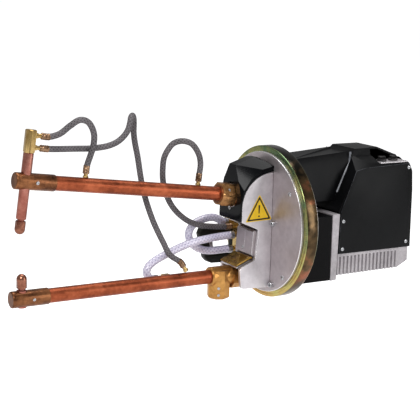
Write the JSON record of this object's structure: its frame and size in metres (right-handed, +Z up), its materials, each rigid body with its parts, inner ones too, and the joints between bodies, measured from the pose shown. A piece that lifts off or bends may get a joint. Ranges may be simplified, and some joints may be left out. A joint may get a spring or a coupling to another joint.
{
  "type": "portable spot-welding gun",
  "caption": "Hanging pliers-type spot-welding gun: two copper arms with electrodes, a hinged upper arm, a turning suspension ring, a side handle and a transformer body at the back.",
  "frame": {"origin": "centre of the suspension ring", "axes": "+X towards the transformer at the back (the arms point along -X), +Z up, -Y is the left side of the gun"},
  "size_m": [0.9355, 0.333, 0.4145],
  "materials": {
    "zinc_steel": "iridescent yellow zinc plating",
    "machined_alu": "satin, machined",
    "cast_alu": "as-cast grey",
    "copper": null,
    "bronze": "machined bronze, dulled",
    "brass": "machined brass",
    "steel": "bright turned steel",
    "black_moulding": "black insulating moulding, satin grain",
    "core_resin": "resin-cast transformer core, black",
    "braid": "braided dark grey cover",
    "clear_hose": "clear reinforced hose",
    "label": "yellow sticker with a black border"
  },
  "bodies": {
    "ring": {"suspension_ring": "zinc_steel"},
    "gun": {"front_disc": "machined_alu", "rear_retainer": "machined_alu", "side_plate_left": "machined_alu", "side_plate_right": "machined_alu", "pivot_pin": "steel", "air_cylinder": "machined_alu", "front_cross_plate": "cast_alu", "brass_shield": "brass", "contact_shoe": "machined_alu", "lower_arm_holder": "bronze", "lower_conductor": "copper", "lower_arm_tube": "copper", "lower_end_holder": "bronze", "lower_electrode": "copper", "lower_electrode_cap": "copper", "lower_arm_fitting": "brass", "lower_arm_elbow": "brass", "hose_manifold": "brass", "side_handle": "black_moulding", "transformer_block": "core_resin", "rear_flange": "cast_alu", "finned_housing": "cast_alu", "body_cover": "black_moulding", "side_panel_left": "black_moulding", "side_panel_right": "black_moulding", "connector_plate": "machined_alu", "supply_inlet_1": "steel", "supply_inlet_2": "steel", "hot_surface_label": "label", "hose_front_return": "braid", "hose_rear_return": "braid", "hose_clear_loop": "clear_hose", "hose_clear_supply": "clear_hose"},
    "upper_arm": {"rocker": "bronze", "hood": "black_moulding", "arm_nut": "bronze", "upper_arm_tube": "copper", "upper_end_holder": "bronze", "electrode_shaft": "copper", "electrode_head": "brass", "upper_electrode_cap": "copper", "head_fitting_1": "brass", "head_fitting_2": "brass", "arm_fitting_1": "brass", "arm_fitting_2": "brass", "hose_arm_loop": "braid"},
    "piston_rod": {"piston_rod": "steel"},
    "trigger": {"handle_trigger": "cast_alu"}
  },
  "joints": [
    {"name": "gun_roll", "type": "hinge", "parent": "ring", "child": "gun", "pos_m": [0, 0, 0], "axis": [1, 0, 0], "continuous": true},
    {"name": "arm_close", "type": "hinge", "parent": "gun", "child": "upper_arm", "pos_m": [-0.042, 0, 0.042], "axis": [0, 1, 0], "range_deg": [-8.45, 0], "deforming": ["hose_front_return", "hose_rear_return"]},
    {"name": "rod_slide", "type": "slide", "parent": "gun", "child": "piston_rod", "axis": [1, 0, 0], "range_m": [-0.0085, 0]},
    {"name": "trigger_pull", "type": "slide", "parent": "gun", "child": "trigger", "axis": [-1, 0, 0], "range_m": [0, 0.004], "stiffness_N_per_m": 900, "springref_m": -0.003}
  ],
  "couplings": [
    {"joint": "rod_slide", "follows": "arm_close", "m_per_rad": 0.055}
  ]
}
